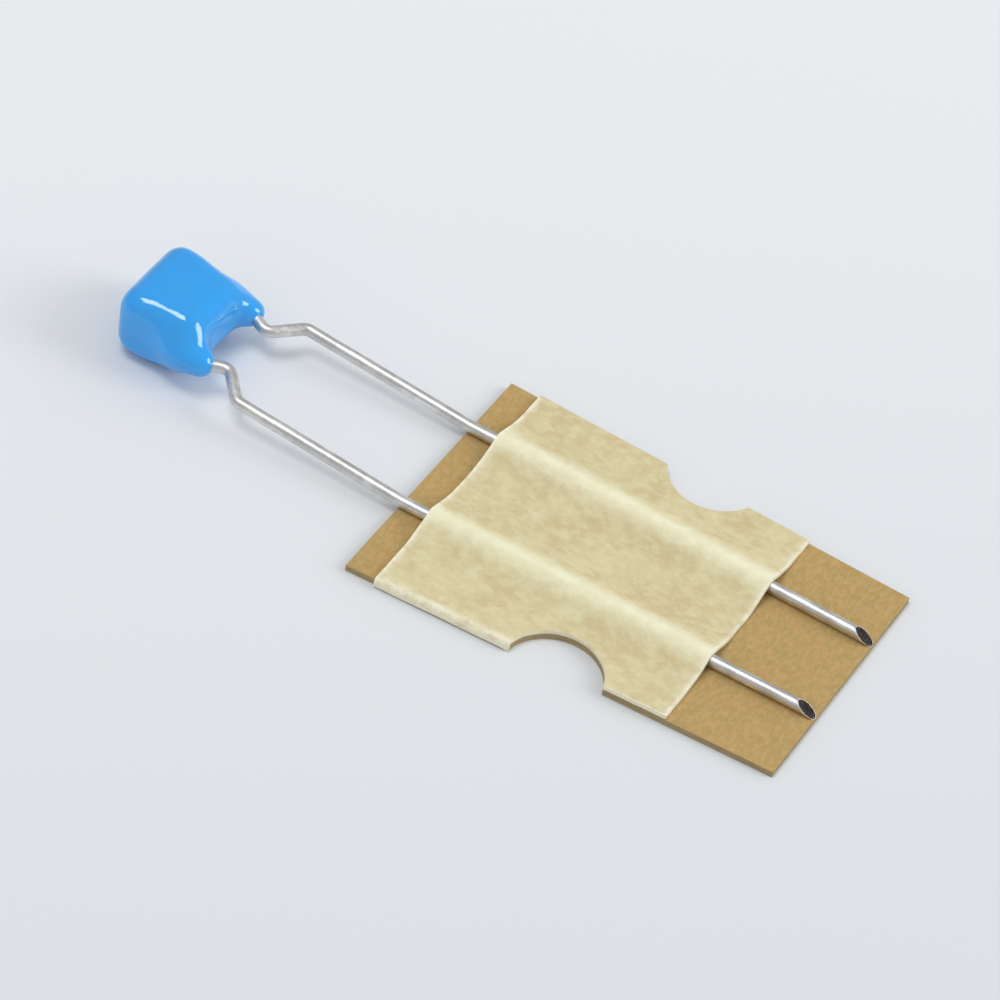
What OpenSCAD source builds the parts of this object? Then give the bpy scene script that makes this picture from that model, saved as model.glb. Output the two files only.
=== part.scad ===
// Dipped radial ceramic capacitor, still held on its cut piece of carrier tape.
// A blue epoxy block hangs on two kinked wires, which a cream tape holds down on brown card.
// X runs along the wires towards their cut ends, Y across the card and Z up.
// The origin is on the card's underside, on the feed hole line, midway between the wires.

/* [Card] */
// Length of the card along the wires
card_w = 18; // [16:0.1:20]
// Thickness of the card
card_t = 0.3; // [0.25:0.05:0.6]
// Distance between the feed holes on either side of the part
feed_pitch = 12.7; // [12.2:0.1:14]
// Diameter of the feed holes, which the side cuts open into notches
feed_d = 4; // [3.4:0.1:4.4]
// Near side cut, from the middle line, at the front edge
near_cut_front = 6.35; // [5.4:0.05:6.8]
// Near side cut, from the middle line, at the rear edge
near_cut_rear = 5.5; // [5:0.05:6.8]
// Far side cut, from the middle line, at the front edge
far_cut_front = 5.75; // [5.2:0.05:6.8]
// Far side cut, from the middle line, at the rear edge
far_cut_rear = 5.3; // [5:0.05:6.8]

/* [Hold-down tape] */
// Width of the tape along the wires
tape_w = 12.25; // [10:0.05:13]
// Thickness of the tape
tape_t = 0.15; // [0.08:0.01:0.25]
// Bare card in front of the tape
tape_inset = 1.3; // [0.5:0.05:2.5]
// Half width of the tent that the tape makes over a wire
tent_w = 1.4; // [0.8:0.05:1.6]
// How far the tape is pressed down over the card's near cut, in front of the notch
lip_drop = 0.22; // [0.1:0.02:0.24]

/* [Wires] */
// Diameter of the wires
wire_d = 0.5; // [0.4:0.02:0.6]
// Spacing of the wires where they leave the card
wire_pitch = 5; // [4.4:0.1:5.6]
// Spacing of the wires at their cut ends
end_pitch = 4.5; // [4:0.1:5.6]
// Length of the slanting shear cut at a wire's end
shear_l = 0.8; // [0.3:0.05:1]
// Height of the kink above the feed hole line
kink_h = 16.5; // [15.5:0.1:18]
// Spacing of the wires at the inner corners of the kink
kink_pitch = 2.55; // [2.2:0.05:3.2]
// Length of the kink's slanting stretch, along the wires
kink_run = 1.1; // [0.9:0.05:1.6]
// Length of the splayed stretch above the kink, along the wires
splay_run = 1.05; // [0.8:0.05:1.4]
// Bend radius of the kink, on the wire's axis
bend_r = 0.42; // [0.32:0.02:0.6]

/* [Ceramic chip] */
// Length of the chip between its end faces
chip_l = 2.8; // [2.4:0.1:3.2]
// Width of the chip along the wires
chip_w = 2.4; // [2:0.1:3]
// Thickness of the chip
chip_t = 2; // [1.4:0.1:2.4]
// Thickness of the metal end caps
cap_t = 0.05; // [0.03:0.01:0.1]
// Width of the band that an end cap folds over the chip
cap_band = 0.5; // [0.3:0.05:0.8]
// Solder left between an end cap and its wire
solder_film = 0.05; // [0.03:0.01:0.1]
// Half width of a solder fillet on the end cap
fillet_w = 0.45; // [0.35:0.05:0.6]
// Length of a solder fillet along the wire
fillet_l = 1.9; // [1.2:0.1:2]

/* [Epoxy coat] */
// Coat over the chip's two broad faces
coat_face = 0.5; // [0.4:0.05:1]
// Coat outside the wires
coat_side = 0.22; // [0.16:0.02:0.5]
// Coat over the closed end of the chip
coat_end = 0.5; // [0.4:0.05:1.2]
// Coat between the chip and the arch that the wires leave from
coat_foot = 0.7; // [0.4:0.05:1.2]
// Length of the two legs that run down the wires
leg_l = 0.8; // [0.4:0.05:1]
// Coat round a wire at the tip of a leg
leg_wall = 0.27; // [0.15:0.01:0.35]
// Coat round a wire at the root of a leg
leg_root_wall = 0.45; // [0.3:0.01:0.6]
// Bare wire between the kink and the tip of a leg
leg_gap = 0.55; // [0.35:0.05:0.7]
// Blend between the legs and the block
leg_blend = 0.6; // [0.2:0.05:0.8]
// Edge rounding of the block
edge_r = 0.85; // [0.6:0.05:1.1]
// Narrowing of the block towards the wires, each side
draft_side = 0.05; // [0:0.05:0.5]
// Thinning of the block at its wire end, each face
draft_face = 0.3; // [0:0.05:0.4]
// How far the wires sit below the block's middle
wire_drop = 0.15; // [0:0.05:0.4]

/* [Hidden] */
$fn = 48;
NEAR = -1;
FAR = 1;
// Overrun of a cutting shape past what it cuts
over = 1;
// Facets round the wire and along each of its bends
wire_sides = 20;
bend_steps = 6;
// Facets of the coat's skin: rings on a leg, rings round the arch, sides of a ring
leg_rings = 7;
arch_rings = 56;
skin_sides = 40;
// Halvings that find the skin
skin_steps = 18;
// Where along the block it starts to thin, as a share of its length
thin_from = 0.4;

wire_r = wire_d / 2;
card_front = -card_w / 2;
card_rear = card_w / 2;
tape_front = card_front + tape_inset;

// Places along X, from the kink up to the closed end of the block
kink_low = -kink_h;
kink_high = kink_low - kink_run;
splay_top = kink_high - splay_run;
tip_x = kink_high - leg_gap;
foot_x = tip_x - leg_l;
chip_x = foot_x - coat_foot - chip_w / 2;
end_x = chip_x - chip_w / 2 - coat_end;

// Sizes across the block
block_t = chip_t + 2 * (cap_t + coat_face);
cap_face = chip_l / 2 + cap_t;
inner_y = cap_face + solder_film + wire_r;
block_half_w = inner_y + wire_r + coat_side;

// Heights of the wires on the card and in the block
taped_z = card_t + wire_r;
block_z = block_t / 2;
inner_z = block_z - wire_drop;
// Between card and block a wire climbs in one straight slope, kink and all
function climb_z(x) = taped_z + (inner_z - taped_z) * (card_front - x) / (card_front - splay_top);

// Wire route, from the cut end to the end inside the block
wire_top = chip_x - fillet_l / 2;
function wire_route(side) = [
    [card_rear, side * end_pitch / 2, taped_z],
    [card_front, side * wire_pitch / 2, taped_z],
    [kink_low, side * wire_pitch / 2, climb_z(kink_low)],
    [kink_high, side * kink_pitch / 2, climb_z(kink_high)],
    [splay_top, side * inner_y, inner_z],
    [wire_top, side * inner_y, inner_z]
];

// Vector helpers
function unit(v) = v / norm(v);
function turn(a, b, c) = acos(min(1, unit(b - a) * unit(c - b)));

// Stations round the bend at b, on the way from a to c: each is a place and a heading
function bend_stations(a, b, c) =
    let(ahead = unit(b - a))
    let(next = unit(c - b))
    let(inward = unit(next - (next * ahead) * ahead))
    let(angle = turn(a, b, c))
    let(centre = b - bend_r * tan(angle / 2) * ahead + bend_r * inward)
    [for (i = [0:bend_steps])
        let(t = angle * i / bend_steps)
        [centre + bend_r * (sin(t) * ahead - cos(t) * inward), cos(t) * ahead + sin(t) * inward]];

// Stations along the whole wire
function wire_stations(route) =
    let(last = len(route) - 1)
    concat(
        [[route[0], unit(route[1] - route[0])]],
        [for (i = [1:last - 1]) each bend_stations(route[i - 1], route[i], route[i + 1])],
        [[route[last], unit(route[last] - route[last - 1])]]
    );

// Direction out from a station, at an angle round its heading
function ray(station, angle) =
    let(across = unit(cross(station[1], [0, 0, 1])))
    cos(angle) * across + sin(angle) * cross(across, station[1]);

// Ring of points round one station of the wire
function wire_ring(station) =
    [for (i = [0:wire_sides - 1]) station[0] + wire_r * ray(station, 360 * i / wire_sides)];

// Skin of rings that follow one another, closed at both ends
module ring_skin(rings) {
    sides = len(rings[0]);
    last = len(rings) - 1;
    function at(ring, i) = ring * sides + i % sides;
    polyhedron(
        [for (ring = rings) each ring],
        concat(
            [[for (i = [0:sides - 1]) at(0, sides - 1 - i)]],
            [for (ring = [0:last - 1]) for (i = [0:sides - 1]) each [
                [at(ring, i), at(ring, i + 1), at(ring + 1, i + 1)],
                [at(ring, i), at(ring + 1, i + 1), at(ring + 1, i)]
            ]],
            [[for (i = [0:sides - 1]) at(last, i)]]
        ),
        convexity = 6
    );
}

// The whole bent wire, with a slanting shear cut at its free end
module bent_wire(side) {
    route = wire_route(side);
    difference() {
        ring_skin([for (station = wire_stations(route)) wire_ring(station)]);
        translate([card_rear, route[0].y, card_t])
            rotate([0, -atan2(shear_l, wire_d), 0])
                translate([0, -over, -over])
                    cube([over, 2 * over, 3 * over]);
    }
}

// Where a sheet that comes down at s touches a round of radius r that stands g above the flat
function tent_touch(s, g, r) =
    let(reach = norm([s, g + r]))
    let(slope = atan2(g + r, s) + asin(r / reach))
    let(free = sqrt(reach * reach - r * r))
    [s - free * cos(slope), free * sin(slope)];

// Section of the space under such a sheet, as far up as the touching points
module tent_space(s, g, r) {
    touch = tent_touch(s, g, r);
    polygon([[-s, 0], [-touch.x, touch.y], [touch.x, touch.y], [s, 0]]);
}

// Outline of the card: two hand cuts, each through a feed hole
module card_plan() {
    difference() {
        polygon([
            [card_front, -near_cut_front],
            [card_rear, -near_cut_rear],
            [card_rear, far_cut_rear],
            [card_front, far_cut_front]
        ]);
        for (side = [NEAR, FAR])
            translate([0, side * feed_pitch / 2])
                circle(d = feed_d);
    }
}

// Outline of the tape's lip, from the tape's front to the notch, and from outside the near cut
// to as far back over the card as is asked
function near_cut(x) = near_cut_front + (near_cut_rear - near_cut_front) * (x - card_front) / card_w;
module lip_plan(back) {
    difference() {
        polygon([
            [tape_front, back - near_cut(tape_front)],
            [0, back - near_cut(0)],
            [0, -near_cut(0) - tape_t],
            [tape_front, -near_cut(tape_front) - tape_t]
        ]);
        translate([0, -feed_pitch / 2])
            circle(d = feed_d);
    }
}

// Outline of the tape, cut and punched together with the card
module tape_plan() {
    intersection() {
        card_plan();
        translate([tape_front, -feed_pitch])
            square([tape_w, 2 * feed_pitch]);
    }
    lip_plan(tape_t);
}

// Runs a section along a taped wire, with its floor on the card
module along_wire(side) {
    toe_in = atan2((wire_pitch - end_pitch) / 2, card_w);
    translate([card_front, side * wire_pitch / 2, card_t])
        rotate([0, 0, -side * toe_in])
            rotate([90, 0, 90])
                linear_extrude(card_w + over)
                    children();
}

// Section over a wire: the outside of the tape's tent
module tent_outside() {
    slope = 2 * atan2(wire_r, tent_w);
    outer_r = wire_r + tape_t;
    base = tent_w + tape_t * tan(slope / 2);
    shoulder = [outer_r * sin(slope), wire_r + outer_r * cos(slope)];
    polygon([
        [-base, 0], [-base, tape_t], [-shoulder.x, shoulder.y],
        [shoulder.x, shoulder.y], [base, tape_t], [base, 0]
    ]);
    translate([0, wire_r])
        circle(r = outer_r);
}

// Section over a wire: the space that the wire lies in
module tent_inside() {
    tent_space(tent_w, 0, wire_r);
    translate([0, wire_r])
        circle(r = wire_r);
    translate([-tent_w, -over])
        square([2 * tent_w, over]);
}

// Smooth blend of two distance fields
function blend(a, b, k) = min(a, b) - pow(max(k - abs(a - b), 0), 2) / (4 * k);

// Distance field of the block: a rounded box that narrows and thins towards the wires
block_l = foot_x - end_x;
block_mid = [(foot_x + end_x) / 2, 0, block_z];
function block_field(p) =
    let(rise = (p.x - end_x) / block_l)
    let(thin = draft_face * max(0, rise - thin_from) / (1 - thin_from))
    let(half = [block_l / 2, block_half_w - draft_side * rise, block_t / 2 - thin])
    let(off = p - block_mid)
    let(q = [for (i = [0:2]) abs(off[i]) - half[i] + edge_r])
    norm([for (v = q) max(v, 0)]) + min(max(q), 0) - edge_r;

// Distance field of a leg: a round cone that leans from the block's middle onto the wire
leg_tip_r = wire_r + leg_wall;
leg_root_r = wire_r + leg_root_wall;
function leg_field(p, side) =
    let(root_x = foot_x - leg_root_r)
    let(share = max(0, min(1, (p.x - root_x) / (tip_x - leg_tip_r - root_x))))
    let(axis = [root_x + share * (tip_x - leg_tip_r - root_x), side * inner_y, block_z - share * wire_drop])
    norm(p - axis) - leg_root_r - share * (leg_tip_r - leg_root_r);

function coat_field(p) =
    blend(block_field(p), min(leg_field(p, NEAR), leg_field(p, FAR)), leg_blend);

// Distance from a place inside the coat to its skin, by halving
function skin_reach(from, dir, lo, hi, steps) =
    steps == 0 ? (lo + hi) / 2 :
    let(mid = (lo + hi) / 2)
    coat_field(from + mid * dir) < 0
        ? skin_reach(from, dir, mid, hi, steps - 1)
        : skin_reach(from, dir, lo, mid, steps - 1);

// Stations inside the coat, on a U from leg tip to leg tip, each with its distance from the arch's pivot
pivot_x = foot_x + leg_l / 3;
mid_reach = pivot_x - block_mid.x;
function leg_station(side, ring) =
    let(x = pivot_x + (tip_x - pivot_x) * sin(90 * ring / leg_rings))
    [[x, side * inner_y, inner_z], [side, 0, 0], inner_y];
function arch_station(angle) =
    let(reach = inner_y + (mid_reach - inner_y) * sin(angle))
    let(z = inner_z + wire_drop * sin(angle))
    [[pivot_x - reach * sin(angle), reach * cos(angle), z], [cos(angle), sin(angle), 0], reach];

// Ring of points on the skin round one station, none of them past the pivot
function skin_ring(station) =
    [for (i = [0:skin_sides - 1])
        let(angle = 360 * i / skin_sides)
        let(dir = ray(station, angle))
        let(limit = cos(angle) * block_l > station[2] ? station[2] / cos(angle) : block_l)
        station[0] + skin_reach(station[0], dir, 0, limit, skin_steps) * dir];

// The coat's skin: down from the near leg's tip, round the arch and up to the far leg's tip
module coat_skin() {
    stations = concat(
        [for (ring = [leg_rings - 1:-1:1]) leg_station(NEAR, ring)],
        [for (ring = [0:arch_rings]) arch_station(180 - 180 * ring / arch_rings)],
        [for (ring = [1:leg_rings - 1]) leg_station(FAR, ring)]
    );
    ring_skin([for (station = stations) skin_ring(station)]);
}

// The bare chip, and the block that an end cap is folded from
module chip_block() {
    translate([chip_x, 0, block_z])
        cube([chip_w, chip_l, chip_t], center = true);
}
module cap_block(side) {
    translate([chip_x, side * (cap_face - (cap_band + cap_t) / 2), block_z])
        cube([chip_w + 2 * cap_t, cap_band + cap_t, chip_t + 2 * cap_t], center = true);
}
module solder_block(side) {
    translate([chip_x - fillet_l / 2, side * cap_face, inner_z])
        rotate([0, 90, 0])
            rotate([0, 0, side * 90 - 90])
                linear_extrude(fillet_l)
                    tent_space(fillet_w, solder_film, wire_r);
}

module epoxy_coat() {
    color("dodgerblue")
        difference() {
            coat_skin();
            chip_block();
            for (side = [NEAR, FAR]) {
                cap_block(side);
                solder_block(side);
                bent_wire(side);
            }
        }
}

module ceramic_chip() {
    color("sienna")
        chip_block();
}

module end_cap(side) {
    color("silver")
        difference() {
            cap_block(side);
            chip_block();
        }
}

module solder_joint(side) {
    color("lightgray")
        difference() {
            solder_block(side);
            bent_wire(side);
        }
}

module lead_wire(side) {
    color("gray")
        bent_wire(side);
}

module carrier_card() {
    color("peru")
        linear_extrude(card_t)
            card_plan();
}

module hold_down_tape() {
    color("wheat") {
        intersection() {
            translate([0, 0, card_t])
                linear_extrude(wire_d + 2 * tape_t)
                    tape_plan();
            difference() {
                union() {
                    translate([card_front, -feed_pitch, card_t - over])
                        cube([card_w, 2 * feed_pitch, tape_t + over]);
                    for (side = [NEAR, FAR])
                        along_wire(side)
                            tent_outside();
                }
                for (side = [NEAR, FAR])
                    along_wire(side)
                        tent_inside();
            }
        }
        translate([0, 0, card_t - lip_drop])
            linear_extrude(lip_drop + tape_t)
                lip_plan(0);
    }
}

epoxy_coat();
ceramic_chip();
end_cap(NEAR);  // end_cap_near
end_cap(FAR);  // end_cap_far
solder_joint(NEAR);  // solder_near
solder_joint(FAR);  // solder_far
lead_wire(NEAR);  // wire_near
lead_wire(FAR);  // wire_far
carrier_card();
hold_down_tape();
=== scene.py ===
# %% [markdown]
# # A taped radial ceramic capacitor
# A blue dipped block sits on two kinked wires. A cream paper tape still holds the wires down on
# a cut piece of brown carrier card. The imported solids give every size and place. This lesson
# dresses them: it models the visible pieces with bmesh operators, gives each a procedural finish,
# and lights them softly on a pale floor.

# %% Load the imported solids
import math
import bmesh
import bpy
from mathutils import Matrix, Vector, noise


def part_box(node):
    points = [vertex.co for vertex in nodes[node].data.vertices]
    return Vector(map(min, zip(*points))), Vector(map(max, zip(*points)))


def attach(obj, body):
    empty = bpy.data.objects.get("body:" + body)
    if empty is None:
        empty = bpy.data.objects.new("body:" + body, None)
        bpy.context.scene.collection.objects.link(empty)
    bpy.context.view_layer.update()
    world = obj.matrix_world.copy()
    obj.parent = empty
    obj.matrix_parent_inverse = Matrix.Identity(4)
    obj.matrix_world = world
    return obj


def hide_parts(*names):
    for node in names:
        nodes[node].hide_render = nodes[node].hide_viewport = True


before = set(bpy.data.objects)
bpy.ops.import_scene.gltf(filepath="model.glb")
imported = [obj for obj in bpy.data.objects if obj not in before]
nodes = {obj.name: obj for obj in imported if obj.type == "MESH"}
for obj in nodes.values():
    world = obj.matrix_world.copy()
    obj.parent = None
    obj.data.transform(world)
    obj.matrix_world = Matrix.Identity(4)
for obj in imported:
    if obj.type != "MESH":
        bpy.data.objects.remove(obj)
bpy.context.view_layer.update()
MM = 0.001
print("solids:", sorted(nodes))

# %% [markdown]
# ## Camera
# The part is small, so it was photographed with a long lens from about 190 mm away. The camera
# stands 24 degrees round from the near side, looks down at 46 degrees and is rolled a little, so
# the wires run down to the right. A camera's own axes are its right, its up and its back, so
# those three vectors are worked out first and become the columns of its matrix.

# %% Camera at the photograph's angle
azimuth, elevation, roll = (math.radians(a) for a in (24.21, 45.97, 9.70))
back = Vector((math.sin(azimuth) * math.cos(elevation),
               -math.cos(azimuth) * math.cos(elevation), math.sin(elevation)))
level_right = Vector((math.cos(azimuth), math.sin(azimuth), 0))
level_up = back.cross(level_right)
right = level_right * math.cos(roll) + level_up * math.sin(roll)
camera = bpy.data.objects.new("camera", bpy.data.cameras.new("camera"))
camera.data.sensor_width = 36
camera.data.lens = 179.1
camera.data.clip_start = 0.01
place = Vector((47.83, -119.86, 136.34)) * MM
axes = Matrix((right, back.cross(right), back)).transposed().to_4x4()
camera.matrix_world = Matrix.Translation(place) @ axes
bpy.context.scene.collection.objects.link(camera)
bpy.context.scene.camera = camera
print("camera stands", round(place.length / MM), "mm from the origin")

# %% [markdown]
# ## Helpers
# Every piece starts as a bmesh, is cut with planes and ends as an object at the origin. Every
# finish starts as a Principled shader with a few nodes in front of it. The functions for that are
# short, so the cells that follow read as steps of the making.

# %% Mesh helpers
ON_PLANE = 0.00001 * MM


def slice_at(bm, point, normal, drop_outside=False):
    """Cuts a mesh along a plane, and drops what lies outside it if asked."""
    bmesh.ops.bisect_plane(bm, geom=bm.verts[:] + bm.edges[:] + bm.faces[:], dist=ON_PLANE,
                           plane_co=point, plane_no=normal, clear_outer=drop_outside)


def keep(bm, name):
    """Turns a finished bmesh into an object at the origin."""
    mesh = bpy.data.meshes.new(name)
    bm.to_mesh(mesh)
    bm.free()
    piece = bpy.data.objects.new(name, mesh)
    bpy.context.scene.collection.objects.link(piece)
    return piece


print("mesh helpers ready")

# %% Shader helpers
def finish(name, roughness=0.5):
    """A new material; returns it with its node tree and its Principled shader."""
    material = bpy.data.materials.new(name)
    material.use_nodes = True
    shader = material.node_tree.nodes["Principled BSDF"]
    shader.inputs["Roughness"].default_value = roughness
    return material, material.node_tree, shader


def surface_vector(tree):
    """Object coordinates, in metres."""
    return tree.nodes.new("ShaderNodeTexCoord").outputs["Object"]


def math_node(tree, operation, first, second):
    """A Math node; each side is a number or a socket."""
    node = tree.nodes.new("ShaderNodeMath")
    node.operation = operation
    for socket, value in zip(node.inputs, (first, second)):
        if isinstance(value, (int, float)):
            socket.default_value = value
        else:
            tree.links.new(value, socket)
    return node.outputs[0]


def spread(tree, value, low, high):
    """Spreads the part of a value between low and high over the whole of 0 to 1."""
    node = tree.nodes.new("ShaderNodeMapRange")
    node.interpolation_type = "SMOOTHSTEP"
    tree.links.new(value, node.inputs["Value"])
    node.inputs["From Min"].default_value = low
    node.inputs["From Max"].default_value = high
    return node.outputs["Result"]


def mixed(tree, factor, first, second):
    """A colour mix by a factor socket; each colour is a tuple or a socket."""
    node = tree.nodes.new("ShaderNodeMix")
    node.data_type = "RGBA"
    tree.links.new(factor, node.inputs["Factor"])
    for socket, value in zip([s for s in node.inputs if s.type == "RGBA"], (first, second)):
        if isinstance(value, tuple):
            socket.default_value = (*value, 1)
        else:
            tree.links.new(value, socket)
    return [s for s in node.outputs if s.type == "RGBA"][0]


print("shader helpers ready")

# %% [markdown]
# ## Floor and light
# The part lies on pale, slightly blue paper. Its colour is painted a little darker towards the
# viewer, as painted shade where less light reaches the floor. A soft box hangs above it and a
# second one stands low on the right, where the glossy coat mirrors them as streaks on its near
# edges. Two wide fills, behind and in front, keep the shadows faint. They are left out of
# reflections, so they add no streaks of their own.

# %% Floor
FLOOR_HALF = 1.5
FALLOFF_REACH = 45 * MM
AWAY = (-0.73, 0.68, 0)
bm = bmesh.new()
bmesh.ops.create_grid(bm, x_segments=1, y_segments=1, size=FLOOR_HALF)
floor = keep(bm, "floor")
pale_paper, tree, shader = finish("pale_paper", roughness=0.9)
along = tree.nodes.new("ShaderNodeVectorMath")
along.operation = "DOT_PRODUCT"
tree.links.new(surface_vector(tree), along.inputs[0])
along.inputs[1].default_value = AWAY
# Painted shade: the floor colour darkens smoothly towards the viewer.
depth = spread(tree, along.outputs["Value"], -FALLOFF_REACH, FALLOFF_REACH)
paper_with_painted_falloff = mixed(tree, depth, (0.665, 0.683, 0.71), (0.79, 0.81, 0.83))
tree.links.new(paper_with_painted_falloff, shader.inputs["Base Color"])
floor.data.materials.append(pale_paper)
print("floor is", floor.dimensions.x, "m wide")

# %% Lights
def soft_box(name, direction, distance, width, height, watts, mirrored=True):
    """An area lamp that looks at the middle of the part; a fill is not mirrored in it."""
    lamp = bpy.data.lights.new(name, "AREA")
    lamp.shape = "RECTANGLE"
    lamp.size, lamp.size_y = width, height
    lamp.energy = watts
    stand = bpy.data.objects.new(name, lamp)
    aim = Vector(direction).normalized()
    facing = aim.to_track_quat("Z", "Y").to_matrix().to_4x4()
    stand.matrix_world = Matrix.Translation(aim * distance) @ facing
    stand.visible_glossy = mirrored
    bpy.context.scene.collection.objects.link(stand)


soft_box("top_light", (-0.22, -0.13, 0.97), distance=0.4, width=0.16, height=0.16, watts=0.47)
soft_box("side_light", (0.82, 0.35, 0.46), distance=0.4, width=0.17, height=0.26, watts=0.69)
soft_box("back_fill", (0.3, 0.85, 0.42), distance=0.4, width=0.3, height=0.3, watts=0.15,
         mirrored=False)
soft_box("front_fill", (-0.25, -0.85, 0.45), distance=0.5, width=0.6, height=0.6, watts=0.41,
         mirrored=False)
world = bpy.data.worlds.new("studio")
world.use_nodes = True
sky = world.node_tree.nodes["Background"].inputs
sky["Color"].default_value = (0.97, 0.985, 1.0, 1)
sky["Strength"].default_value = 0.515
bpy.context.scene.world = world
bpy.context.scene.view_settings.view_transform = "Standard"

# %% [markdown]
# ## Shared effects
# Several finishes need the same two things. Blotches are a soft, cloudy change of tone. Fibres
# are fine streaks that run along one direction, as in paper or on drawn wire. Each is built once
# as a shader node group with named inputs, and each material then sets its own values.

# %% Node group helper
def new_group(name, inputs, outputs):
    """An empty shader node group with the sockets that are asked for."""
    group = bpy.data.node_groups.new(name, "ShaderNodeTree")
    for label, kind, value in inputs:
        socket = group.interface.new_socket(label, in_out="INPUT", socket_type=kind)
        socket.default_value = value
    for label, kind in outputs:
        group.interface.new_socket(label, in_out="OUTPUT", socket_type=kind)
    return group, group.nodes.new("NodeGroupInput"), group.nodes.new("NodeGroupOutput")


print("group helper ready")

# %% Blotches and fibres
VECTOR, FLOAT = "NodeSocketVector", "NodeSocketFloat"


def noise_on(tree, vector, scale, detail, roughness):
    """A noise texture on a vector socket; the scale is a number or a socket."""
    node = tree.nodes.new("ShaderNodeTexNoise")
    node.inputs["Detail"].default_value = detail
    node.inputs["Roughness"].default_value = roughness
    tree.links.new(vector, node.inputs["Vector"])
    if isinstance(scale, (int, float)):
        node.inputs["Scale"].default_value = scale
    else:
        tree.links.new(scale, node.inputs["Scale"])
    return node.outputs["Fac"]


blotches, group_in, group_out = new_group(
    "blotches", [("Vector", VECTOR, (0, 0, 0)), ("Scale", FLOAT, 1000.0)], [("Mask", FLOAT)])
cloud = noise_on(blotches, group_in.outputs["Vector"], group_in.outputs["Scale"],
                 detail=3.0, roughness=0.6)
blotches.links.new(spread(blotches, cloud, 0.35, 0.68), group_out.inputs["Mask"])

fibres, group_in, group_out = new_group(
    "fibres",
    [("Vector", VECTOR, (0, 0, 0)), ("Scale", FLOAT, 1000.0), ("Stretch", VECTOR, (0.1, 1, 1))],
    [("Mask", FLOAT), ("Height", FLOAT)])
stretched = fibres.nodes.new("ShaderNodeVectorMath")
stretched.operation = "MULTIPLY"
fibres.links.new(group_in.outputs["Vector"], stretched.inputs[0])
fibres.links.new(group_in.outputs["Stretch"], stretched.inputs[1])
strands = noise_on(fibres, stretched.outputs["Vector"], group_in.outputs["Scale"],
                   detail=5.0, roughness=0.7)
fibres.links.new(strands, group_out.inputs["Height"])
fibres.links.new(spread(fibres, strands, 0.4, 0.65), group_out.inputs["Mask"])
print("groups:", [g.name for g in bpy.data.node_groups])

# %% [markdown]
# ## Finishes
# The coat is pigmented epoxy: one strong blue, hardly darker in places, with a clear gloss and a
# skin that is never quite flat. The wires are drawn steel with a thin coat of tin, so they are
# grey metal with fine lines along their length. Where they are sheared off, the bare steel face is
# painted near black, as painted shade on the cut.
# Card and tape are paper, so both take the fibres. Roughness changes only a little: there the
# noise is spread over far more than its own range, which leaves a narrow band of values.

# %% Finish helpers
def use_group(tree, group, vector, **values):
    """Places a group in a material with its own values."""
    node = tree.nodes.new("ShaderNodeGroup")
    node.node_tree = group
    tree.links.new(vector, node.inputs["Vector"])
    for label, value in values.items():
        node.inputs[label.capitalize()].default_value = value
    return node.outputs


def bump(tree, shader, height, strength, distance):
    """Sends a height through a Bump node to the shader's normal."""
    node = tree.nodes.new("ShaderNodeBump")
    node.inputs["Strength"].default_value = strength
    node.inputs["Distance"].default_value = distance
    tree.links.new(height, node.inputs["Height"])
    tree.links.new(node.outputs["Normal"], shader.inputs["Normal"])


print("finish helpers ready")

# %% Blue epoxy
blue_epoxy, tree, shader = finish("blue_epoxy")
where = surface_vector(tree)
cloud = use_group(tree, blotches, where, scale=900.0)["Mask"]
blue = mixed(tree, cloud, (0.008, 0.335, 0.85), (0.012, 0.32, 0.79))
tree.links.new(blue, shader.inputs["Base Color"])
peel = noise_on(tree, where, 2600.0, detail=2.0, roughness=0.5)
tree.links.new(spread(tree, peel, -0.6, 5.0), shader.inputs["Roughness"])
bump(tree, shader, peel, strength=0.25, distance=0.02 * MM)
shader.inputs["Specular IOR Level"].default_value = 1.0
print("made", blue_epoxy.name)

# %% Tinned wire and its sheared face
tinned_wire, tree, shader = finish("tinned_wire")
where = surface_vector(tree)
lines = use_group(tree, fibres, where, scale=9000.0, stretch=(0.03, 1.0, 1.0))
dull = use_group(tree, blotches, where, scale=1500.0)["Mask"]
bright = mixed(tree, lines["Mask"], (0.70, 0.69, 0.68), (0.95, 0.94, 0.92))
tree.links.new(mixed(tree, dull, bright, (0.62, 0.61, 0.59)), shader.inputs["Base Color"])
tree.links.new(spread(tree, lines["Height"], -0.7, 2.0), shader.inputs["Roughness"])
bump(tree, shader, lines["Height"], strength=0.35, distance=0.01 * MM)
shader.inputs["Metallic"].default_value = 1.0

cut_face_painted_shade, tree, shader = finish("cut_face_painted_shade", roughness=0.55)
tear = use_group(tree, fibres, surface_vector(tree), scale=14000.0, stretch=(1.0, 0.25, 0.25))
# Painted shade: the sheared face is coloured near black, with fine torn streaks in it.
dark = mixed(tree, tear["Mask"], (0.012, 0.007, 0.006), (0.06, 0.045, 0.04))
tree.links.new(dark, shader.inputs["Base Color"])
bump(tree, shader, tear["Height"], strength=0.6, distance=0.02 * MM)
shader.inputs["Specular IOR Level"].default_value = 0.2
print("made", tinned_wire.name, "and", cut_face_painted_shade.name)

# %% Kraft card, its face and its cut edge
FIBRE_SHARE = 0.5


def paper(name, tones, blotch_scale, fibre_scale, stretch, depth):
    """A paper finish: two tones in blotches, fibres of a third over them, and a low bump."""
    material, tree, shader = finish(name, roughness=0.85)
    where = surface_vector(tree)
    cloud = use_group(tree, blotches, where, scale=blotch_scale)["Mask"]
    strands = use_group(tree, fibres, where, scale=fibre_scale, stretch=stretch)
    base = mixed(tree, cloud, tones[0], tones[1])
    fine = math_node(tree, "MULTIPLY", strands["Mask"], FIBRE_SHARE)
    tree.links.new(mixed(tree, fine, base, tones[2]), shader.inputs["Base Color"])
    bump(tree, shader, strands["Height"], strength=0.6, distance=depth)
    shader.inputs["Specular IOR Level"].default_value = 0.25
    return material


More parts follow.
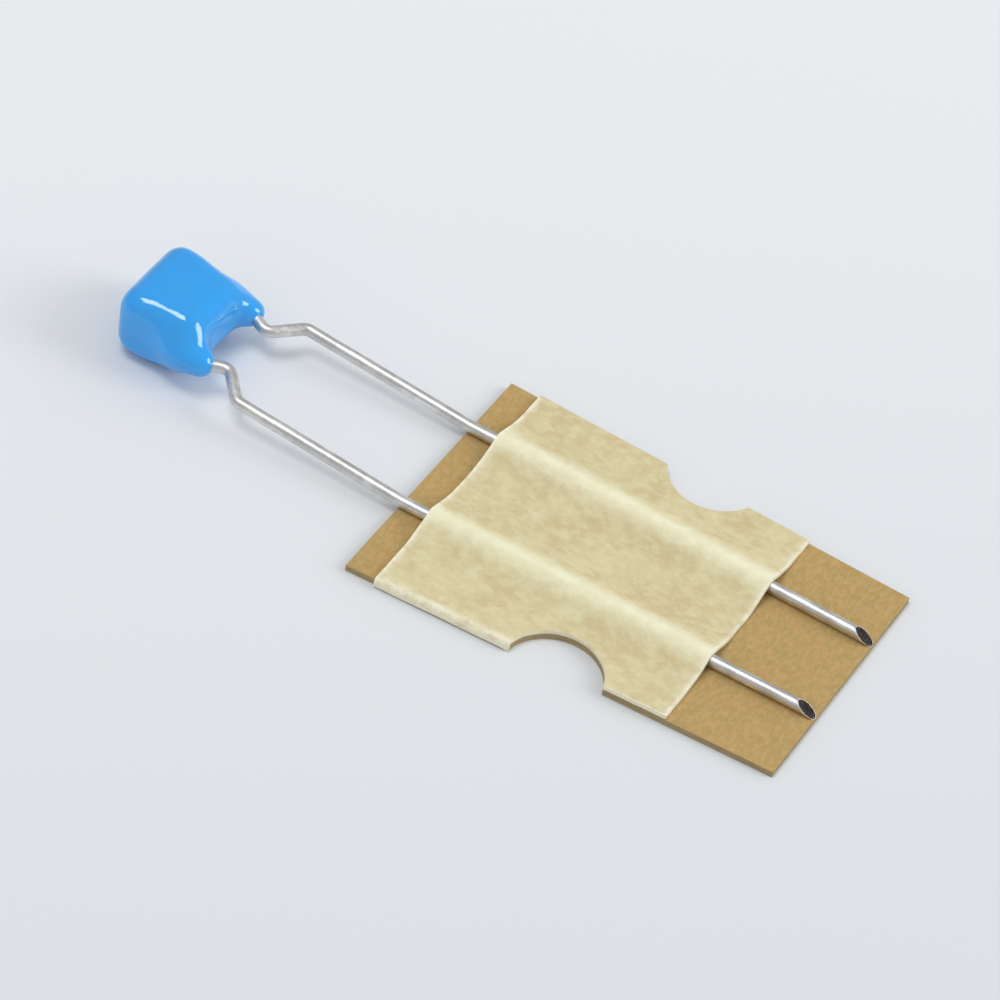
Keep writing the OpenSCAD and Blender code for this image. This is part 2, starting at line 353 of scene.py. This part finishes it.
kraft_face = paper(
    "kraft_face", [(0.475, 0.302, 0.106), (0.41, 0.292, 0.108), (0.57, 0.41, 0.20)],
    blotch_scale=1900.0, fibre_scale=7000.0, stretch=(0.8, 0.4, 1.0), depth=0.04 * MM)
kraft_edge = paper(
    "kraft_edge", [(0.36, 0.27, 0.14), (0.30, 0.23, 0.12), (0.45, 0.35, 0.2)],
    blotch_scale=1500.0, fibre_scale=6000.0, stretch=(0.25, 0.25, 2.5), depth=0.05 * MM)
print("made", kraft_face.name, "and", kraft_edge.name)

# %% [markdown]
# The tape's sheet is thin, so the brown card shows through where it is stuck. Where it is lifted
# over a wire, or frayed at its rim, it stays pale. Over the top of each tent that pale tone is also
# a painted highlight along the crest. Two vertex attributes will say so for each point: lift is
# how far it is off the card, and rim is how close it is to the tape's own edge.

# %% Creped tape
SPOT_SHARE = 0.2


def attribute(tree, name):
    """A value that is kept on the vertices."""
    node = tree.nodes.new("ShaderNodeAttribute")
    node.attribute_name = name
    return node.outputs["Fac"]


creped_tape, tree, shader = finish("creped_tape", roughness=0.8)
where = surface_vector(tree)
patch = use_group(tree, blotches, where, scale=700.0)["Mask"]
spot = use_group(tree, blotches, where, scale=2200.0)["Mask"]
crepe = use_group(tree, fibres, where, scale=2400.0, stretch=(0.7, 1.0, 1.0))
stuck = mixed(tree, patch, (0.665, 0.583, 0.34), (0.605, 0.495, 0.278))
stuck = mixed(tree, math_node(tree, "MULTIPLY", spot, SPOT_SHARE), stuck, (0.50, 0.42, 0.225))
fine = math_node(tree, "MULTIPLY", crepe["Mask"], FIBRE_SHARE)
stuck = mixed(tree, fine, stuck, (0.73, 0.70, 0.46))
# The pale crest tone is partly real, where the card no longer shows through, and partly a painted
# highlight along each tent's top.
crest_and_painted_highlight = mixed(tree, fine, (0.82, 0.79, 0.55), (0.92, 0.905, 0.68))
lifted_and_painted_highlight = mixed(tree, spread(tree, attribute(tree, "lift"), 0.4, 1.1), stuck, crest_and_painted_highlight)
frayed = math_node(tree, "MULTIPLY", attribute(tree, "rim"),
                   spread(tree, crepe["Height"], 0.2, 0.6))
tree.links.new(mixed(tree, frayed, lifted_and_painted_highlight, (0.90, 0.86, 0.68)), shader.inputs["Base Color"])
bump(tree, shader, crepe["Height"], strength=0.5, distance=0.03 * MM)
shader.inputs["Specular IOR Level"].default_value = 0.2

tape_edge = paper(
    "tape_edge", [(0.80, 0.75, 0.58), (0.72, 0.66, 0.48), (0.86, 0.82, 0.68)],
    blotch_scale=1500.0, fibre_scale=6000.0, stretch=(1.0, 1.0, 1.0), depth=0.02 * MM)
print("made", creped_tape.name, "and", tape_edge.name)

# %% [markdown]
# ## The dipped coat
# On the real part the block is dipped in liquid epoxy, which runs down the wires and hangs there
# as two legs. The solid has that form in flat facets. Subdividing it would keep every facet line.
# So a copy is merged, the hollow for the chip and the wires is taken out, the openings are closed,
# and a voxel remesh with some smoothing gives an even, flowing skin. Three small moves then make it
# a dipped skin: it gets a faint ripple, its legs swell a little, and its top is drawn in towards
# them. Some more smoothing runs the three together, so that the highlights stay clean.

# %% Wire routes, as the solids have them
WIRE_R = 0.25 * MM
SIDES = {"near": -1, "far": 1}
CARD_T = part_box("carrier_card")[1].z
REAR_Y, FRONT_Y = 2.25, 2.5
CARD_FRONT, BLOCK_FOOT = -9, -18.65
BLOCK_Z = 1.4
CORNERS = [(9, REAR_Y), (CARD_FRONT, FRONT_Y), (-16.5, FRONT_Y), (-17.6, 1.275),
           (BLOCK_FOOT, 1.75), (-21.8, 1.75)]


def wire_route(side):
    """Corners of a wire's axis, which climbs evenly from the card's front to the block's foot."""
    low = (CARD_T + WIRE_R) / MM
    route = []
    for x, y in CORNERS:
        climbed = max(0.0, min(1.0, (CARD_FRONT - x) / (CARD_FRONT - BLOCK_FOOT)))
        route.append(Vector((x, side * y, low + climbed * (BLOCK_Z - low))) * MM)
    return route


def off_axis(point, route):
    """Distance from a point to a wire's axis."""
    least = 1.0
    for a, b in zip(route, route[1:]):
        along = max(0.0, min(1.0, (point - a).dot(b - a) / (b - a).length_squared))
        least = min(least, (point - a.lerp(b, along)).length)
    return least


routes = {name: wire_route(side) for name, side in SIDES.items()}
stretches = [(b - a).length / MM for a, b in zip(routes["near"], routes["near"][1:])]
print("wire length", round(sum(stretches), 1), "mm")

# %% Outer skin of the coat
MERGE = 0.0005 * MM
SLACK = 0.002 * MM
BORE_R = WIRE_R * 1.04
CORE = ("ceramic_chip", "end_cap_near", "end_cap_far", "solder_near", "solder_far")
core_boxes = [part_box(name) for name in CORE]


def in_box(point, low, high):
    """Whether a point lies in a box or on its faces."""
    return all(low[i] - SLACK <= point[i] <= high[i] + SLACK for i in range(3))


def on_hollow(face):
    """Whether a face belongs to the hollow that the chip, caps, solder and wires fill."""
    middle = face.calc_center_median()
    if any(in_box(middle, low, high) for low, high in core_boxes):
        return True
    return min(off_axis(middle, route) for route in routes.values()) < BORE_R


bm = bmesh.new()
bm.from_mesh(nodes["epoxy_coat"].data)
bmesh.ops.remove_doubles(bm, verts=bm.verts, dist=MERGE)
bmesh.ops.delete(bm, geom=[f for f in bm.faces if on_hollow(f)], context="FACES")
bmesh.ops.holes_fill(bm, edges=[e for e in bm.edges if e.is_boundary], sides=0)
bmesh.ops.recalc_face_normals(bm, faces=bm.faces)
bmesh.ops.scale(bm, vec=(1 / MM, 1 / MM, 1 / MM), verts=bm.verts)
print("skin has", len(bm.faces), "faces, open edges", sum(e.is_boundary for e in bm.edges))

# %% Even skin, still in millimetres
VOXEL = 0.06
coat = keep(bm, "epoxy_coat_skin")
remesh = coat.modifiers.new("even_skin", "REMESH")
remesh.mode = "VOXEL"
remesh.voxel_size = VOXEL
smoothed = coat.evaluated_get(bpy.context.evaluated_depsgraph_get())
bm = bmesh.new()
bm.from_mesh(smoothed.to_mesh())
smoothed.to_mesh_clear()
coat.modifiers.clear()


def relax(bm, passes):
    """Smooths a whole skin a number of times."""
    for _ in range(passes):
        bmesh.ops.smooth_vert(bm, verts=bm.verts, factor=0.5,
                              use_axis_x=True, use_axis_y=True, use_axis_z=True)


relax(bm, passes=14)
bm.normal_update()
print("even skin has", len(bm.verts), "points")

# %% Ripple, legs and drawn-in top
RIPPLE, RIPPLE_PER_MM = 0.012, 1.1
LEG_SWELL, LEG_X = 0.08, (-20.2, -18.6)
DRAW_IN, DRAW_X, DRAW_Z = 0.15, (-22.2, -19.2), (1.5, 2.9)


def ease(value, start, end):
    """Rises smoothly from 0 at start to 1 at end."""
    t = max(0.0, min(1.0, (value - start) / (end - start)))
    return t * t * (3 - 2 * t)


for v in bm.verts:
    v.co -= v.normal * RIPPLE * (0.6 + 0.5 * noise.noise(v.co * RIPPLE_PER_MM))
    v.co += v.normal * LEG_SWELL * ease(v.co.x, *LEG_X)
    v.co.y *= 1 - DRAW_IN * ease(v.co.x, *DRAW_X) * ease(v.co.z, *DRAW_Z)
relax(bm, passes=8)
bmesh.ops.scale(bm, vec=(MM, MM, MM), verts=bm.verts)
for f in bm.faces:
    f.smooth = True
bm.to_mesh(coat.data)
bm.free()
coat.data.materials.append(blue_epoxy)
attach(coat, "root")
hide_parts("epoxy_coat")
print("coat has", len(coat.data.polygons), "faces")

# %% [markdown]
# ## The wires
# A wire is one round bar that is bent in a machine and sheared off. A curve with a round bevel
# would do, but a swept ring shows the making better: a circle is extruded along each straight
# stretch and spun round each bend. Then a slanting plane cuts the end. The cut is filled, inset
# and pushed in a little, which leaves a thin bright rim round a torn face coloured near black as
# painted shade.
# A second cut close behind the first keeps the smooth shading of the long side faces straight.

# %% Wire builder
BEND_R = 0.42 * MM
ROUND_STEPS = 32
BEND_STEPS = 8


def ring_of(result):
    """Edges and vertices of a new ring in what an operator returns."""
    return ([g for g in result if isinstance(g, bmesh.types.BMEdge)],
            [g for g in result if isinstance(g, bmesh.types.BMVert)])


def pull(bm, edges, step):
    """Extrudes a ring straight ahead and returns the new ring."""
    edges, verts = ring_of(bmesh.ops.extrude_edge_only(bm, edges=edges)["geom"])
    bmesh.ops.translate(bm, vec=step, verts=verts)
    new = set(verts)
    return [e for e in edges if e.verts[0] in new and e.verts[1] in new]


def swept_wire(route):
    """Sweeps a circle along a route with round bends."""
    bm = bmesh.new()
    heading = (route[1] - route[0]).normalized()
    turn = heading.to_track_quat("Z", "Y").to_matrix().to_4x4()
    bmesh.ops.create_circle(bm, segments=ROUND_STEPS, radius=WIRE_R,
                            matrix=Matrix.Translation(route[0]) @ turn)
    edges = list(bm.edges)
    here = route[0]
    for corner, beyond in zip(route[1:-1], route[2:]):
        after = (beyond - corner).normalized()
        angle = heading.angle(after)
        start = corner - heading * BEND_R * math.tan(angle / 2)
        inward = (after - heading * after.dot(heading)).normalized()
        edges = pull(bm, edges, start - here)
        spun = bmesh.ops.spin(bm, geom=edges, cent=start + inward * BEND_R,
                              axis=heading.cross(after), angle=angle, steps=BEND_STEPS,
                              use_merge=False, use_duplicate=False)
        edges = [g for g in spun["geom_last"] if isinstance(g, bmesh.types.BMEdge)]
        here = corner + after * BEND_R * math.tan(angle / 2)
        heading = after
    edges = pull(bm, edges, route[-1] - here)
    bmesh.ops.contextual_create(bm, geom=edges)
    return bm


print("wire builder ready")

# %% Both wires
SHEAR = 0.8 * MM
BEHIND = 0.06 * MM
RIM_W = 0.012 * MM
TEAR_W, TEAR_DEPTH = 0.06 * MM, 0.05 * MM
FACING = 0.95
slant = Vector((2 * WIRE_R, 0, SHEAR)).normalized()
for name, route in routes.items():
    bm = swept_wire(route)
    lowest = route[0] - Vector((0, 0, WIRE_R))
    slice_at(bm, lowest, slant, drop_outside=True)
    slice_at(bm, lowest - slant * BEHIND, slant)
    rim = [e for e in bm.edges if e.is_boundary]
    face = bmesh.ops.contextual_create(bm, geom=rim)["faces"]
    bmesh.ops.inset_region(bm, faces=face, thickness=RIM_W, depth=0.0)
    wall = bmesh.ops.inset_region(bm, faces=face, thickness=TEAR_W, depth=-TEAR_DEPTH)["faces"]
    bmesh.ops.recalc_face_normals(bm, faces=bm.faces)
    for f in bm.faces:
        f.smooth = len(f.verts) == 4 and f.normal.dot(slant) < FACING
    # The torn face and its inset walls get the painted-shade finish.
    for f in wall + face:
        f.material_index = 1
    wire = keep(bm, "lead_wire_" + name)
    wire.data.materials.append(tinned_wire)
    wire.data.materials.append(cut_face_painted_shade)
    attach(wire, "root")
    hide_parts("wire_" + name)
    print(wire.name, "has", len(wire.data.polygons), "faces")

# %% [markdown]
# ## The carrier card
# The card is stiff brown board, 0.3 mm thick. The strip had round feed holes, and two hand cuts
# through neighbouring holes left a notch on each side. The plan is drawn once: straight edges,
# and each notch as a vertex spun about its hole. The tape is cut from the same plan. Cutting the
# face into a fine grid with planes keeps the true outline and gives points to rough up.

# %% Plan of the cut strip
HALF_W = 9.0 * MM
HOLE_R = 2.0 * MM
HOLE_Y = 6.35 * MM
CUTS = {"near": (6.35 * MM, 5.5 * MM), "far": (5.75 * MM, 5.3 * MM)}
NOTCH_STEPS = 36
ON_HOLE = 0.001 * MM


def cut_at(name, x):
    """Distance of a side cut from the middle line."""
    front, rear = CUTS[name]
    return front + (rear - front) * (x + HALF_W) / (2 * HALF_W)


def notch_ends(name):
    """Where a side cut enters and leaves its feed hole, along X."""
    slope = (CUTS[name][1] - CUTS[name][0]) / (2 * HALF_W)
    gap = cut_at(name, 0) - HOLE_Y
    a, b, c = 1 + slope * slope, 2 * slope * gap, gap * gap - HOLE_R * HOLE_R
    root = math.sqrt(b * b - 4 * a * c)
    return (-b - root) / (2 * a), (-b + root) / (2 * a)


def side_chain(bm, name, front, rear, z):
    """Vertices along one side, from front to rear, with the notch spun about its hole."""
    side = SIDES[name]
    enter, leave = notch_ends(name)
    hole = Vector((0, side * HOLE_Y, z))
    first = bm.verts.new((front, side * cut_at(name, front), z))
    start = bm.verts.new((enter, side * cut_at(name, enter), z))
    last = bm.verts.new((rear, side * cut_at(name, rear), z))
    a = Vector((enter, side * cut_at(name, enter), z)) - hole
    b = Vector((leave, side * cut_at(name, leave), z)) - hole
    bmesh.ops.spin(bm, geom=[start], cent=hole, axis=(0, 0, 1), angle=side * a.xy.angle(b.xy),
                   steps=NOTCH_STEPS, use_merge=False, use_duplicate=False)
    on_hole = [v for v in bm.verts if abs((v.co - hole).length - HOLE_R) < ON_HOLE]
    arc = sorted((v for v in on_hole if v not in (first, last)), key=lambda v: v.co.x)
    return [first] + arc + [last]


def strip_plan(front, rear, z):
    """A flat face with the outline of the cut strip between two places along X."""
    bm = bmesh.new()
    near = side_chain(bm, "near", front, rear, z)
    far = side_chain(bm, "far", front, rear, z)
    bm.faces.new(near + far[::-1])
    bmesh.ops.recalc_face_normals(bm, faces=bm.faces)
    return bm


def grid_cut(bm, step, low, high):
    """Cuts a flat face along X and Y into a fine grid."""
    for axis in range(2):
        normal = Vector((axis == 0, axis == 1, 0))
        for i in range(1, round((high[axis] - low[axis]) / step[axis])):
            slice_at(bm, Vector(low) + normal * i * step[axis], normal)


print("near notch from", [round(x / MM, 2) for x in notch_ends("near")], "mm")

# %% Card with pressed rims and roughed edges
PRESS_R = 0.03 * MM
WALL_CUTS = 3
CARD_GRID = (0.3 * MM, 0.3 * MM)
REACH_Y = 7 * MM
ROUGH, ROUGH_PER_M = 0.03 * MM, 2500
bm = strip_plan(-HALF_W, HALF_W, 0.0)
top = bmesh.ops.extrude_face_region(bm, geom=bm.faces[:])["geom"]
bmesh.ops.translate(bm, vec=(0, 0, CARD_T), verts=ring_of(top)[1])
bmesh.ops.recalc_face_normals(bm, faces=bm.faces)
rims = [e for e in bm.edges if abs(e.verts[0].co.z - e.verts[1].co.z) < 0.5 * CARD_T]
bmesh.ops.bevel(bm, geom=rims, offset=PRESS_R, offset_type="OFFSET", segments=2, profile=0.5,
                affect="EDGES", material=-1)
upright = [e for e in bm.edges if abs(e.verts[0].co.z - e.verts[1].co.z) > 0.5 * CARD_T]
bmesh.ops.subdivide_edges(bm, edges=upright, cuts=WALL_CUTS, use_grid_fill=True)
grid_cut(bm, CARD_GRID, (-HALF_W, -REACH_Y, 0), (HALF_W, REACH_Y, 0))
bm.normal_update()
for f in bm.faces:
    f.material_index = 1 if abs(f.normal.z) < 0.5 else 0
for v in bm.verts:
    if 0.15 * CARD_T < v.co.z < 0.85 * CARD_T:
        v.co -= v.normal * ROUGH * (0.5 + 0.5 * noise.noise(v.co * ROUGH_PER_M))
card = keep(bm, "carrier_card_board")
card.data.materials.append(kraft_face)
card.data.materials.append(kraft_edge)
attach(card, "root")
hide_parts("carrier_card")
print("card has", len(card.data.polygons), "faces")

# %% [markdown]
# ## The hold-down tape
# The tape is thin creped paper with glue below. It lies flat on the card and makes a tent over
# each wire: over the top of the wire it follows the round, and from there it slopes down to the
# card. Its near edge was pressed down over the cut. The sheet starts as the strip's plan, trimmed
# where that fold will be and cut into a fine grid. Grid points that fall right beside the outline
# are welded to it, because slivers would shade badly. Each point is lifted by the tent's height
# and a little creping, and a Solidify modifier gives the paper its thickness.

# %% Shape of the tent
TAPE_T = 0.15 * MM
TAPE_FRONT, TAPE_REAR = -7.7 * MM, 4.55 * MM
TENT_W = 1.4 * MM
TENT_SLOPE = 2 * math.atan2(WIRE_R, TENT_W)
TOUCH_X = TENT_W - TENT_W * math.cos(TENT_SLOPE)
SOFT_FOOT = 0.2 * MM


def tent_height(point):
    """How far the tape's underside stands off the card at a point."""
    wire_y = (REAR_Y + (FRONT_Y - REAR_Y) * (HALF_W - point.x) / (2 * HALF_W)) * MM
    off = abs(abs(point.y) - wire_y)
    if off < TOUCH_X:
        return WIRE_R + math.sqrt(WIRE_R * WIRE_R - off * off)
    ramp = (TENT_W - off) * math.tan(TENT_SLOPE)
    if abs(ramp) > SOFT_FOOT:
        return max(ramp, 0)
    return (ramp + SOFT_FOOT) ** 2 / (4 * SOFT_FOOT)


over_wire = Vector((0, (REAR_Y + FRONT_Y) / 2 * MM, 0))
print("tent is", round(tent_height(over_wire) / MM, 2), "mm high")

# %% Plan of the tape, trimmed at the fold
TAPE_GRID = (0.175 * MM, 0.1 * MM)
SLIVER = 0.03 * MM
enter = notch_ends("near")[0]
inward = Vector((CUTS["near"][1] - CUTS["near"][0], 2 * HALF_W, 0)).normalized()
fold = Vector((0, -cut_at("near", 0), 0)) + inward * PRESS_R


def beyond_fold(face):
    """Whether a face lies outside the fold, in front of the notch."""
    middle = face.calc_center_median()
    return middle.x < enter and (middle - fold).dot(inward) < 0


bm = strip_plan(TAPE_FRONT, TAPE_REAR, CARD_T)
slice_at(bm, fold, inward)
bmesh.ops.delete(bm, geom=[f for f in bm.faces if beyond_fold(f)], context="FACES")
grid_cut(bm, TAPE_GRID, (TAPE_FRONT, -REACH_Y, 0), (TAPE_REAR, REACH_Y, 0))
outline = [v for v in bm.verts if v.is_boundary]
close = bmesh.ops.find_doubles(bm, verts=bm.verts, keep_verts=outline, dist=SLIVER)
bmesh.ops.weld_verts(bm, targetmap=close["targetmap"])
print("plan has", len(bm.faces), "faces")

# %% Tents and creping
FRAY_W = 0.12 * MM
REAR_FADE = 2.5
CREPE, RIM_CREPE = 0.02 * MM, 0.03 * MM
CREPE_PER_M = Vector((800, 1700, 0))
WANDER, WANDER_PER_M = 0.02 * MM, 1300
lift_layer = bm.verts.layers.float.new("lift")
rim_layer = bm.verts.layers.float.new("rim")
for v in bm.verts:
    height = tent_height(v.co)
    v[lift_layer] = height / (2 * WIRE_R)
    near_gap = (cut_at("near", v.co.x) + v.co.y) * (1.0 if v.co.x < 0 else REAR_FADE)
    rim_gap = min(v.co.x - TAPE_FRONT, TAPE_REAR - v.co.x, near_gap)
    v[rim_layer] = math.exp(-rim_gap / FRAY_W)
    crinkle = 0.5 + 0.5 * noise.fractal(v.co * CREPE_PER_M, 1.0, 2.0, 3)
    v.co.z += height + (CREPE + RIM_CREPE * v[rim_layer]) * max(0.0, crinkle)
    v.co.x += WANDER * noise.noise(v.co * WANDER_PER_M)
print("highest point is", round(max(v.co.z for v in bm.verts) / MM, 2), "mm up")

# %% Lip over the near cut
ON_FOLD = 0.004 * MM
PAST_NOTCH = 0.05 * MM
LIP_STEPS = ((0.02, 0.01), (0.01, 0.02), (0.0, 0.09), (0.0, 0.1))


def on_fold(v):
    """Whether a point lies on the fold, in front of the notch."""
    return abs((v.co - fold).dot(inward)) < ON_FOLD and v.co.x < enter + PAST_NOTCH


edge_line = [e for e in bm.edges if e.is_boundary and all(on_fold(v) for v in e.verts)]
for out, down in LIP_STEPS:
    edge_line = pull(bm, edge_line, (Vector((0, 0, -down)) - inward * out) * MM)
bmesh.ops.recalc_face_normals(bm, faces=bm.faces)
if sum(f.normal.z for f in bm.faces) < 0:
    bmesh.ops.reverse_faces(bm, faces=bm.faces)
for f in bm.faces:
    f.smooth = True
for e in bm.edges:
    e.smooth = not e.is_boundary
print("lip hangs from", len(edge_line), "edges")

# %% Paper thickness
tape = keep(bm, "hold_down_tape_sheet")
tape.data.materials.append(creped_tape)
tape.data.materials.append(tape_edge)
thick = tape.modifiers.new("paper_thickness", "SOLIDIFY")
thick.thickness = TAPE_T
thick.offset = 1.0
thick.material_offset_rim = 1
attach(tape, "root")
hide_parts("hold_down_tape")
print("tape has", len(tape.data.polygons), "faces before it is thickened")

# %% [markdown]
# ## What the coat hides
# The chip, its metal caps and the solder cannot be seen, but they keep their solids and get a
# finish of their own, so that the part looks right when the coat is taken away.

# %% Inner finishes
fired_ceramic = paper(
    "fired_ceramic", [(0.25, 0.13, 0.06), (0.21, 0.11, 0.05), (0.32, 0.18, 0.09)],
    blotch_scale=1500.0, fibre_scale=8000.0, stretch=(1.0, 1.0, 1.0), depth=0.01 * MM)


def soft_metal(name, dark, light, scale):
    """A dull plated metal with fine speckle."""
    material, tree, shader = finish(name, roughness=0.45)
    speckle = use_group(tree, fibres, surface_vector(tree), scale=scale, stretch=(1.0, 1.0, 1.0))
    tree.links.new(mixed(tree, speckle["Mask"], dark, light), shader.inputs["Base Color"])
    bump(tree, shader, speckle["Height"], strength=0.4, distance=0.01 * MM)
    shader.inputs["Metallic"].default_value = 1.0
    return material


plated_end = soft_metal("plated_end", (0.42, 0.41, 0.38), (0.55, 0.53, 0.49), 9000.0)
soft_solder = soft_metal("soft_solder", (0.48, 0.49, 0.5), (0.62, 0.63, 0.64), 5000.0)
inside = {"ceramic_chip": fired_ceramic, "end_cap_near": plated_end, "end_cap_far": plated_end,
          "solder_near": soft_solder, "solder_far": soft_solder}
for name, material in inside.items():
    for slot in nodes[name].material_slots:
        slot.material = material
print("finished inside:", {name: len(nodes[name].material_slots) for name in sorted(inside)})
